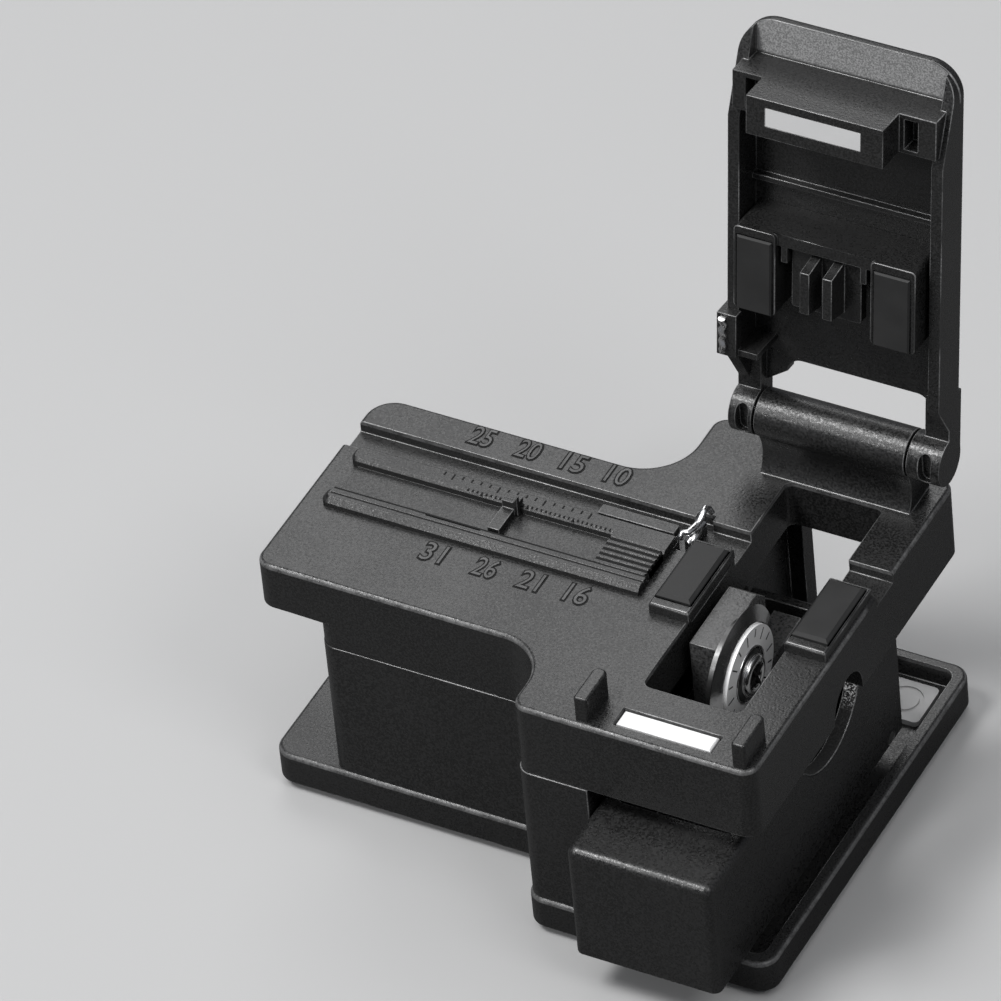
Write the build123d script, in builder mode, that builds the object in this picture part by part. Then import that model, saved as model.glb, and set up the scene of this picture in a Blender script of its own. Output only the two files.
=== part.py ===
# Mini fibre cleaver: a slotted deck on a low base, a hinged lid that clamps
# the fibre, and a spring-returned carriage that draws a round blade under it.
# Frame: X = 0 is the blade plane, Y = 0 the fibre line, Z = 0 the surface that
# the mat rests on. The fibre runs along X, the carriage slides along Y.
from build123d import *
from math import cos, radians, sin, tan
import os

os.makedirs("parts", exist_ok=True)

# Heights, from the resting surface up
mat_proud = 0.6
mat_sunk = 0.6
base_height = 4.0
housing_height = 16.5
cover_height = 8.5
lip_height = 5.5
base_top = mat_proud + base_height
cover_bottom = base_top + housing_height
deck_z = cover_bottom + cover_height
plate_bottom = deck_z - lip_height

# Deck outline: a narrow wing on the left, a deeper main block on the right
deck_left = -48.5
block_left = -16.0
deck_right = 9.8
wing_front = -13.6
wing_rear = 12.9
block_front = -22.1
block_rear = 23.0
front_throat_r = 5.0
rear_throat_r = 5.5
front_corner_r = 1.8
rear_corner_r = 3.0
block_corner_r = 1.6
base_margin = 0.4
wall = 2.0
edge_soft = 0.5

# Housing under the cover, and the open bay that the carriage runs in
housing_left = -42.1
seam_step = -0.12
bay_left = -8.3
screw_hole_r = 1.2
screw_points = [(-38.5, -10.0), (-38.5, 9.4), (-12.2, -17.6), (-12.2, 9.4)]
screw_head_r = 2.2
screw_gap = 0.05
screw_bite = 4.0
bay_gap = 0.25
rear_return_front = 21.0
rear_return_right = -6.6
side_notch_y = -1.9
side_notch_z = deck_z - 7.85
side_notch_r = 3.0

# Tray in the base
tray_depth = 2.4
tray_floor = base_top - tray_depth
rim = 1.4
tray_r = 1.2

# Window that the blade works through
window_left = -5.45
window_right = 5.05
window_front = -14.8
window_rear = 16.75
window_r = 0.9

# Fibre channel behind the guide, and the notch across it
channel_front = 5.1
channel_rear = 8.7
channel_depth = 1.35
trench_left = -11.4
trench_right = -9.6
bar_left = -20.8
bar_right = -12.5
bar_front = 6.0
bar_width = 1.3
bar_height = 1.0

# Fibre guide with its rails and the sliding length stop
guide_left = -46.3
guide_right = -11.4
rail_top = 1.0
front_rail_front = -3.75
front_rail_width = 2.35
rear_rail_front = 2.5
rear_rail_width = 2.2
stop_slot_right = -17.3
web_height = 0.15
groove_step = 0.75
groove_depth = 0.2
rib_count = 5
rail_end_r = 0.9
rail_bevel = 0.55
scallop_r = 0.3
tongue_left = -35.4
tongue_right = -29.4
tongue_width = 0.5
tongue_slit = 0.22
stop_x = -28.2
stop_length = 1.7
stop_height = 0.75
stop_knob_depth = 0.5
stop_reach = 0.7
stop_knob_height = 2.3
stop_gap = 0.08
stop_travel = (-5.0, 9.3)

# Clamp pads and their holders
holder_front = -5.3
holder_rear = 4.8
holder_height = 1.2
left_holder_x = (-9.5, -5.2)
right_holder_x = (5.05, 9.45)
pad_top = 1.7
pad_front = -4.2
pad_rear = 4.15
pad_edge = 0.3
pad_sink = 0.8
pad_gap = 0.05

# Blade stack, turning about a line along X
hub_y = -4.7
hub_drop = 5.1
hub_z = deck_z - hub_drop
blade_r = 6.75
blade_thickness = 0.8
blade_bevel = 1.55
blade_back_bevel = 0.3
blade_edge_x = -0.2
dial_r = 5.05
dial_thickness = 0.35
dial_recess_r = 3.0
drum_r = 5.2
shaft_r = 1.0
shaft_gap = 0.05
face_gap = 0.03
blade_head_r = 2.2
blade_head_height = 0.75
blade_socket_r = 1.0

# Blade holder standing on the carriage
tower_left = -4.4
tower_right = -1.4
tower_front = -7.0
tower_rear = 3.3
tower_drop = 0.8
tower_top = deck_z - tower_drop
tower_foot_rear = 10.2
tower_foot_height = 2.0
tower_base_left = -6.2
tower_base_right = 2.4
tower_base_drop = 8.0
tower_base_top = hub_z - tower_base_drop
tower_chamfer = 1.6

# Carriage: the thumb block in front, the open box behind it, and its travel
carriage_right = 7.5
carriage_front = -27.9
carriage_rear = 12.8
carriage_drop = 2.5
carriage_top = cover_bottom - carriage_drop
carriage_lift = 0.2
carriage_corner_r = 0.9
carriage_travel = 8.0
box_floor_rise = 5.6
box_floor = base_top + box_floor_rise
box_wall = 1.5
box_front = -20.0
side_window_y = -2.0
side_window_z = hub_z - 4.0
side_window_r = 6.9

# Linear rail in the tray, and the runner under the carriage
rail_x = -1.5
rail_width = 5.0
rail_height = 3.6
rail_front = -11.3
rail_rear = 21.8
rail_groove = 0.6
rail_screw_r = 0.7
rail_screw_head_r = 1.4
rail_screw_head = 0.9
rail_screw_pitch = 12.0
runner_width = 8.6
runner_length = 18.0
runner_height = 5.0
runner_lift = 0.9
runner_y = 1.0
running_gap = 0.08

# Screw that sets the blade height, reached through the window in the side
height_screw_y = 5.25
height_screw_rise = 3.4
height_screw_z = box_floor + height_screw_rise
height_screw_r = 2.3
height_screw_face = 5.0
height_screw_head = 1.8
height_screw_shank_r = 1.0

# Return spring, stretched as the carriage is pushed back
spring_x = 4.9
spring_rise = 0.8
spring_z = base_top + spring_rise
spring_r = 1.25
spring_wire = 0.5
spring_pin_y = 10.4
spring_pin_r = 0.7
spring_pin_length = 4.5
spring_post_y = -12.0
spring_post_r = 0.8
spring_slot_width = 3.0
spring_slot_clear = 0.65

# Hinge
hinge_y = 18.65
hinge_rise = 6.54
hinge_z = deck_z + hinge_rise
hinge_r = 2.48
barrel_left = -8.45
barrel_right = 7.7
hinge_side_gap = 0.25
hinge_pin_r = 1.0
hinge_pin_gap = 0.04
pedestal_rear = 21.4
pedestal_front = 16.85
neck_in = 0.75

# Lid, in its own frame: x along the hinge, y from the hinge to the tip,
# z from the back to the side that faces the deck when shut
lid_open_angle = 81.7
lid_left = -11.2
lid_right = 11.5
lid_lip = 4.0
lid_back = -2.4
lid_floor = -1.0
lid_rim_z = 2.6
lid_rim = 1.25
lid_corner_r = 3.4
lid_slot_top = 6.2
arm_depth = 2.6
rim_fade = 4.0
rim_end = 7.3
rim_end_slope = 3.6
knuckle_slot_x = (-9.75, 9.9)
knuckle_slot_rise = 0.2
knuckle_slot_height = 3.3
knuckle_slot_width = 1.3
knuckle_slot_depth = 1.1
lid_slot_left = -6.4
lid_slot_right = 8.9
lid_slot_r = 1.5
ledge_top = 26.9
ledge_height = 0.8
ledge_width = 0.6
magnet_block_below = 2.35
magnet_block_above = 1.95
magnet_block_side_z = 2.9
magnet_block_left = -7.4
magnet_block_right = 7.0
shut_gap = 0.15
post_pocket_depth = 2.0
post_pocket_width = 1.4
post_pocket_length = 3.3
pressure_front = 14.5
pressure_rear = 23.8
pressure_z = 4.5
pressure_frame_z = 4.1
pressure_base = 0.8
frame_leg = 0.7
frame_leg_length = 1.6
pressure_left_x = (-9.6, -5.15)
pressure_right_x = (4.95, 9.7)
upper_pad_gap = 0.12
clip_box_left = -11.75
clip_box_width = 2.1
clip_box_front = 8.0
clip_box_rear = 12.8
clip_box_z = 3.8
clip_shelf_right = -7.6
clip_shelf_thickness = 0.7

# Anvil that bends the fibre over the blade
anvil_left = -3.9
anvil_right = 3.5
anvil_front = 15.6
anvil_rear = 22.3
anvil_gap = 0.15
anvil_plate_z = 3.4
anvil_plate_depth = 1.2
anvil_travel = 0.8
fin_offset = 1.2
fin_thickness = 1.0
fin_z = 6.2
fin_front = 17.0
fin_slope = 0.6
fin_rear = 22.2
anvil_spring_r = 1.3

# Magnets, guide posts and clips
magnet_length = 10.0
magnet_x = -0.35
magnet_y = -19.5
magnet_width = 2.0
magnet_depth = 2.0
magnet_rim = 0.25
magnet_seat = 0.02
post_x = (-8.45, 8.25)
post_width = 1.5
post_length = 4.7
post_front = -21.6
post_height = 3.0
post_edge = 0.3
clip_x = -10.5
clip_thickness = 0.8
clip_length = 4.0
clip_rise = 0.7
clip_notch = 0.8

# Mat and buffer pad
mat_left = -33.0
mat_right = 7.5
mat_front = -12.5
mat_rear = 6.5
mat_r = 2.0
buffer_x = 4.9
buffer_y = 18.4
buffer_size = 5.4
buffer_height = 0.6

magnet_v = hinge_y - magnet_y
magnet_block_front = magnet_v - magnet_block_below
magnet_block_rear = magnet_v + magnet_block_above
lid_length = magnet_block_rear + lid_lip

lid_v = (0, cos(radians(lid_open_angle)), sin(radians(lid_open_angle)))
lid_n = (0, -sin(radians(lid_open_angle)), cos(radians(lid_open_angle)))


def lid_plane(height=0.0):
    return Plane(origin=(0, hinge_y, hinge_z), x_dir=(1, 0, 0), z_dir=lid_n).offset(height)


def body_outline(left, grow=0.0):
    # plan of the cleaver; the two throats are the concave corners
    with BuildSketch() as outline:
        with BuildLine():
            Polyline(
                (left - grow, wing_front - grow), (block_left - grow, wing_front - grow),
                (block_left - grow, block_front - grow), (deck_right + grow, block_front - grow),
                (deck_right + grow, block_rear + grow), (block_left - grow, block_rear + grow),
                (block_left - grow, wing_rear + grow), (left - grow, wing_rear + grow), close=True)
        make_face()
        corners = outline.vertices()
        fillet(corners.sort_by_distance((block_left, wing_front))[0], front_throat_r - grow)
        corners = outline.vertices()
        fillet(corners.sort_by_distance((block_left, wing_rear))[0], rear_throat_r - grow)
        corners = outline.vertices()
        fillet(corners.sort_by_distance((left, wing_front))[0], front_corner_r + grow)
        corners = outline.vertices()
        fillet(corners.sort_by_distance((left, wing_rear))[0], rear_corner_r + grow)
        for corner in [(block_left, block_front), (deck_right, block_front), (deck_right, block_rear),
                       (block_left, block_rear)]:
            corners = outline.vertices()
            fillet(corners.sort_by_distance(corner)[0], block_corner_r + grow)
    return outline.sketch


def rectangle(left, right, front, rear, radius=0.0):
    with BuildSketch() as plan:
        with Locations(((left + right) / 2, (front + rear) / 2)):
            if radius:
                RectangleRounded(right - left, rear - front, radius)
            else:
                Rectangle(right - left, rear - front)
    return plan.sketch


# Anti-slip mat, let into the underside of the base
with BuildPart() as anti_slip_mat:
    with BuildSketch(Plane.XY):
        add(rectangle(mat_left, mat_right, mat_front, mat_rear, mat_r))
    extrude(amount=mat_proud + mat_sunk)
    chamfer(anti_slip_mat.faces().sort_by(Axis.Z)[0].edges(), 0.2)
anti_slip_mat.part.label = "anti_slip_mat"
export_step(anti_slip_mat.part, "parts/anti_slip_mat.step")

# Base plate with the tray that the carriage runs in
tray_left = bay_left + 0.1
tray_right = deck_right + base_margin - rim
tray_front = block_front - base_margin + rim
tray_rear = block_rear + base_margin - 1.2
with BuildPart() as base_plate:
    with BuildSketch(Plane.XY.offset(mat_proud)):
        add(body_outline(deck_left, base_margin))
    extrude(amount=base_height)
    fillet(base_plate.faces().sort_by(Axis.Z)[-1].edges(), edge_soft)
    chamfer(base_plate.faces().sort_by(Axis.Z)[0].edges(), 0.4)
    with BuildSketch(Plane.XY.offset(tray_floor)):
        add(rectangle(tray_left, tray_right, tray_front, tray_rear, tray_r))
    extrude(amount=tray_depth, mode=Mode.SUBTRACT)
    with BuildSketch(Plane.XY.offset(mat_proud)):
        add(rectangle(mat_left, mat_right, mat_front, mat_rear, mat_r))
    extrude(amount=mat_sunk, mode=Mode.SUBTRACT)
    with Locations(Plane(origin=(0, 0, mat_proud), z_dir=(0, 0, -1), x_dir=(1, 0, 0))):
        with Locations(*[(x, -y) for x, y in screw_points]):
            CounterSinkHole(screw_hole_r, screw_head_r, depth=base_height)
base_plate.part.label = "base_plate"
export_step(base_plate.part, "parts/base_plate.step")


# Housing under the wing and beside the bay that the carriage runs in
with BuildPart() as lower_housing:
    with BuildSketch(Plane.XY.offset(base_top)):
        with BuildLine():
            Polyline(
                (housing_left, wing_front + seam_step), (block_left + seam_step, wing_front + seam_step),
                (block_left + seam_step, block_front + seam_step), (bay_left, block_front + seam_step),
                (bay_left, rear_return_front), (rear_return_right, rear_return_front),
                (rear_return_right, block_rear - seam_step), (block_left + seam_step, block_rear - seam_step),
                (block_left + seam_step, wing_rear - seam_step), (housing_left, wing_rear - seam_step), close=True)
        make_face()
    extrude(amount=housing_height)
    upright = lower_housing.edges().filter_by(Axis.Z)
    fillet(upright.sort_by_distance((block_left, wing_front, deck_z))[0], front_throat_r)
    upright = lower_housing.edges().filter_by(Axis.Z)
    fillet(upright.sort_by_distance((block_left, wing_rear, deck_z))[0], rear_throat_r)
    upright = lower_housing.edges().filter_by(Axis.Z)
    fillet(upright.sort_by_distance((block_left, block_rear, deck_z))[0], block_corner_r)
    upright = lower_housing.edges().filter_by(Axis.Z)
    fillet(upright.sort_by_distance((housing_left, wing_front, deck_z))[0], front_corner_r)
    upright = lower_housing.edges().filter_by(Axis.Z)
    fillet(upright.sort_by_distance((housing_left, wing_rear, deck_z))[0], front_corner_r)
    upright = lower_housing.edges().filter_by(Axis.Z)
    fillet(upright.sort_by_distance((block_left, block_front, deck_z))[0], block_corner_r)
    with Locations(Plane.XY.offset(base_top + housing_height)):
        with Locations(*screw_points):
            Hole(screw_hole_r, depth=housing_height)
lower_housing.part.label = "lower_housing"
export_step(lower_housing.part, "parts/lower_housing.step")

# Top cover: the deck, its skirt, the blade window, the fibre channel, the hinge pedestal
bay_right = deck_right - wall
lift_left = holder_front
with BuildPart() as top_cover:
    with BuildSketch(Plane.XY.offset(plate_bottom)):
        add(body_outline(deck_left))
    extrude(amount=lip_height)
    with BuildSketch(Plane.XY.offset(cover_bottom)):
        add(body_outline(housing_left))
    extrude(amount=cover_height - lip_height)
    fillet(top_cover.faces().sort_by(Axis.Z)[-1].outer_wire().edges(), edge_soft)
    with BuildSketch(Plane.XY.offset(cover_bottom)):
        add(rectangle(bay_left, bay_right, block_front + wall, block_rear - wall, tray_r))
    extrude(amount=cover_height - lip_height, mode=Mode.SUBTRACT)
    with BuildSketch(Plane.XY.offset(plate_bottom)):
        add(rectangle(window_left, window_right, window_front, window_rear, window_r))
    extrude(amount=lip_height, mode=Mode.SUBTRACT)
    with BuildSketch(Plane.XY.offset(deck_z)):
        add(rectangle(deck_left - 1, deck_right + 1, channel_front, channel_rear))
        add(rectangle(trench_left, trench_right, channel_front - channel_depth, channel_rear + clip_notch))
    extrude(amount=-channel_depth, mode=Mode.SUBTRACT)
    with BuildSketch(Plane.XY.offset(deck_z - channel_depth)):
        add(rectangle(bar_left, bar_right, bar_front, bar_front + bar_width))
    extrude(amount=bar_height)
    with BuildSketch(Plane.XY.offset(deck_z)):
        add(rectangle(magnet_x - magnet_length / 2 - magnet_rim, magnet_x + magnet_length / 2 + magnet_rim,
                      magnet_y - magnet_width / 2 - magnet_rim, magnet_y + magnet_width / 2 + magnet_rim))
    extrude(amount=-magnet_depth, mode=Mode.SUBTRACT)
    for left, right in (left_holder_x, right_holder_x):
        with BuildSketch(Plane.XY.offset(deck_z)):
            add(rectangle(left + pad_edge - pad_gap, right - pad_edge + pad_gap,
                          pad_front - pad_gap, pad_rear + pad_gap))
        extrude(amount=-pad_sink, mode=Mode.SUBTRACT)
    with BuildSketch(Plane.YZ.offset(barrel_left)):
        with BuildLine():
            foot_front = Line((pedestal_front, deck_z), (pedestal_rear, deck_z))
            rear_rise = Line((pedestal_rear, deck_z), (hinge_y + hinge_r, hinge_z))
            over = ThreePointArc((hinge_y + hinge_r, hinge_z), (hinge_y, hinge_z + hinge_r),
                                 (hinge_y - hinge_r, hinge_z))
            under = ThreePointArc((hinge_y - hinge_r, hinge_z),
                                  (hinge_y - hinge_r * cos(radians(25)), hinge_z - hinge_r * sin(radians(25))),
                                  (hinge_y - hinge_r * cos(radians(50)), hinge_z - hinge_r * sin(radians(50))))
            sweep_down = ThreePointArc((hinge_y - hinge_r * cos(radians(50)), hinge_z - hinge_r * sin(radians(50))),
                                       (pedestal_front + neck_in, (deck_z + hinge_z) / 2 - neck_in),
                                       (pedestal_front, deck_z))
        make_face()
        with Locations((hinge_y, hinge_z)):
            Circle(hinge_pin_r + hinge_pin_gap, mode=Mode.SUBTRACT)
    extrude(amount=barrel_right - barrel_left)
    with BuildSketch(Plane.YZ.offset(bay_right - 1)):
        with Locations((side_notch_y, side_notch_z)):
            Circle(side_notch_r)
            Rectangle(2 * side_notch_r, 2 * side_notch_r, align=(Align.CENTER, Align.MAX))
    extrude(amount=wall + 2, mode=Mode.SUBTRACT)
    with Locations(Plane(origin=(0, 0, cover_bottom), z_dir=(0, 0, -1), x_dir=(1, 0, 0))):
        with Locations(*[(x, -y) for x, y in screw_points]):
            Hole(screw_hole_r, depth=screw_bite + 0.5)
top_cover.part.label = "top_cover"
export_step(top_cover.part, "parts/top_cover.step")

# Long screws that hold base, housing and cover together
with BuildPart() as case_screws:
    with BuildSketch(Plane.XY.offset(mat_proud + screw_head_r - screw_hole_r)):
        with Locations(*screw_points):
            Circle(screw_hole_r - screw_gap)
    extrude(amount=cover_bottom + screw_bite - mat_proud - screw_head_r + screw_hole_r)
    with BuildSketch(Plane.XY.offset(mat_proud + 0.1)):
        with Locations(*screw_points):
            Circle(screw_head_r - 0.15)
    extrude(amount=screw_head_r - screw_hole_r, taper=44)
    with BuildSketch(Plane.XY.offset(mat_proud)):
        with Locations(*screw_points):
            RegularPolygon(screw_hole_r * 0.7, 6)
    extrude(amount=screw_hole_r, mode=Mode.SUBTRACT)
case_screws.part.label = "case_screws"
export_step(case_screws.part, "parts/case_screws.step")

# Fibre guide: two round-ended rails on a thin web, ribbed where they meet at the clamp
web_front = front_rail_front + front_rail_width
rear_rail_rear = rear_rail_front + rear_rail_width
with BuildPart() as fibre_guide:
    with BuildSketch(Plane.XY.offset(deck_z)):
        add(rectangle(guide_left + rail_end_r, guide_right, front_rail_front, rear_rail_rear))
    extrude(amount=web_height)
    for front, rear in ((front_rail_front, web_front), (rear_rail_front, rear_rail_rear)):
        with BuildSketch(Plane.XY.offset(deck_z)) as rail_plan:
            add(rectangle(guide_left, guide_right, front, rear))
            fillet(rail_plan.vertices().group_by(Axis.X)[0], rail_end_r)
        extrude(amount=rail_top)
    with BuildSketch(Plane.XY.offset(deck_z)):
        add(rectangle(stop_slot_right, guide_right, web_front, rear_rail_front))
    extrude(amount=rail_top)
    top_edges = fibre_guide.faces().filter_by(Axis.Z).group_by(Axis.Z)[-1].edges()
    chamfer(top_edges.filter_by(Axis.X).group_by(Axis.Y)[0], rail_bevel)
    chamfer(fibre_guide.faces().filter_by(Axis.Z).group_by(Axis.Z)[-1].edges().filter_by(Axis.X).group_by(Axis.Y)[-1],
            rail_bevel / 2)
    with BuildSketch(Plane.YZ.offset(guide_left)):
        for step in range(2):
            with Locations((web_front - groove_step * (step + 0.6), deck_z + rail_top)):
                Rectangle(groove_depth, groove_depth, rotation=45)
    extrude(amount=guide_right - guide_left, mode=Mode.SUBTRACT)
    with BuildSketch(Plane.YZ.offset(stop_slot_right)):
        for step in range(rib_count):
            with Locations((web_front + groove_step * (step + 0.4), deck_z + rail_top)):
                Rectangle(2 * groove_depth, 2 * groove_depth, rotation=45)
    extrude(amount=guide_right - stop_slot_right, mode=Mode.SUBTRACT)
    with BuildSketch(Plane.XY.offset(deck_z + web_height)):
        for step in range(rib_count):
            with Locations((guide_right, web_front + groove_step * (step - 0.4))):
                Circle(scallop_r)
    extrude(amount=rail_top, mode=Mode.SUBTRACT)
    with BuildSketch(Plane.XY.offset(deck_z + web_height)):
        add(rectangle(tongue_left, tongue_right, web_front - tongue_width - tongue_slit, web_front - tongue_width))
        add(rectangle(tongue_right - tongue_slit, tongue_right, web_front - tongue_width - tongue_slit, web_front + 1))
    extrude(amount=rail_top, mode=Mode.SUBTRACT)
fibre_guide.part.label = "fibre_guide"
export_step(fibre_guide.part, "parts/fibre_guide.step")

# Length stop that slides between the rails
stop_bottom = deck_z + web_height + stop_gap
stop_foot = deck_z + rail_top + stop_gap
with BuildPart() as length_stop:
    with BuildSketch(Plane.XY.offset(stop_bottom)):
        add(rectangle(stop_x - stop_length / 2, stop_x + stop_length / 2 - 0.4,
                      web_front + stop_gap, rear_rail_front - stop_gap))
    extrude(amount=stop_height)
    with BuildSketch(Plane.XZ.offset(-rear_rail_front + stop_gap)):
        with Locations((stop_x, stop_bottom)):
            Polygon((-stop_length / 2, 0), (stop_length / 2, 0), (stop_length / 2, stop_knob_height),
                    (stop_length / 2 - 0.5, stop_knob_height - 0.7), (-stop_length / 2, stop_knob_height - 0.7),
                    align=None)
    extrude(amount=stop_knob_depth)
    with BuildSketch(Plane.XY.offset(stop_foot)):
        add(rectangle(stop_x - stop_length / 2, stop_x + stop_length / 2,
                      rear_rail_front - stop_gap - stop_knob_depth, rear_rail_front + stop_reach))
    extrude(amount=stop_knob_height - 0.8 - (stop_foot - stop_bottom))
length_stop.part.label = "length_stop"
export_step(length_stop.part, "parts/length_stop.step")

# Pad holders, raised blocks on both sides of the blade window
for side, (left, right) in (("left", left_holder_x), ("right", right_holder_x)):
    with BuildPart() as pad_holder:
        with BuildSketch(Plane.XY.offset(deck_z)):
            add(rectangle(left, right, holder_front, holder_rear))
        extrude(amount=holder_height)
        chamfer(pad_holder.faces().sort_by(Axis.Z)[-1].edges(), 0.2)
        with BuildSketch(Plane.XY.offset(deck_z)):
            add(rectangle(left + pad_edge - pad_gap, right - pad_edge + pad_gap,
                          pad_front - pad_gap, pad_rear + pad_gap))
        extrude(amount=holder_height, mode=Mode.SUBTRACT)
    pad_holder.part.label = side + "_pad_holder"
    export_step(pad_holder.part, "parts/" + side + "_pad_holder.step")

    with BuildPart() as lower_pad:
        with BuildSketch(Plane.XY.offset(deck_z - pad_sink)):
            add(rectangle(left + pad_edge, right - pad_edge, pad_front, pad_rear))
        extrude(amount=pad_sink + pad_top)
        chamfer(lower_pad.faces().sort_by(Axis.Z)[-1].edges(), pad_edge)
    lower_pad.part.label = "lower_" + side + "_pad"
    export_step(lower_pad.part, "parts/lower_" + side + "_pad.step")

# Spring clip of bent sheet in the notch across the fibre channel
clip_y = (channel_front + channel_rear) / 2
with BuildPart() as fibre_clip:
    with BuildSketch(Plane.YZ.offset(clip_x - clip_thickness / 2)):
        with Locations((clip_y, deck_z - channel_depth)):
            Polygon((-clip_length / 2, 0), (clip_length / 2, 0), (clip_length / 2, channel_depth + clip_rise),
                    (0.35, clip_rise), (-0.35, clip_rise), (-clip_length / 2, channel_depth + clip_rise),
                    align=None)
    extrude(amount=clip_thickness)
fibre_clip.part.label = "fibre_clip"
export_step(fibre_clip.part, "parts/fibre_clip.step")

# Magnet in the front edge of the deck
with BuildPart() as deck_magnet:
    with Locations((magnet_x, magnet_y, deck_z - magnet_depth)):
        Box(magnet_length, magnet_width, magnet_depth, align=(Align.CENTER, Align.CENTER, Align.MIN))
    chamfer(deck_magnet.faces().sort_by(Axis.Z)[-1].edges(), 0.15)
deck_magnet.part.label = "deck_magnet"
export_step(deck_magnet.part, "parts/deck_magnet.step")

# Guide posts that enter the pockets of the lid
with BuildPart() as guide_posts:
    with BuildSketch(Plane.XY.offset(deck_z)):
        with Locations(*[(x, post_front + post_length / 2) for x in post_x]):
            Rectangle(post_width, post_length)
    extrude(amount=post_height)
    fillet(guide_posts.edges().filter_by(Axis.Z).group_by(Axis.Y)[-1], post_width * 0.45)
    fillet(guide_posts.edges().filter_by(Axis.Z).group_by(Axis.Y)[0], post_edge)
    fillet(guide_posts.faces().filter_by(Axis.Z).group_by(Axis.Z)[-1].edges(), post_edge)
guide_posts.part.label = "guide_posts"
export_step(guide_posts.part, "parts/guide_posts.step")

# Hinge pin through barrel and knuckles
with BuildPart() as hinge_pin:
    with BuildSketch(Plane.YZ.offset(lid_left + 0.8)):
        with Locations((hinge_y, hinge_z)):
            Circle(hinge_pin_r)
    extrude(amount=lid_right - lid_left - 1.6)
hinge_pin.part.label = "hinge_pin"
export_step(hinge_pin.part, "parts/hinge_pin.step")

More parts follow.
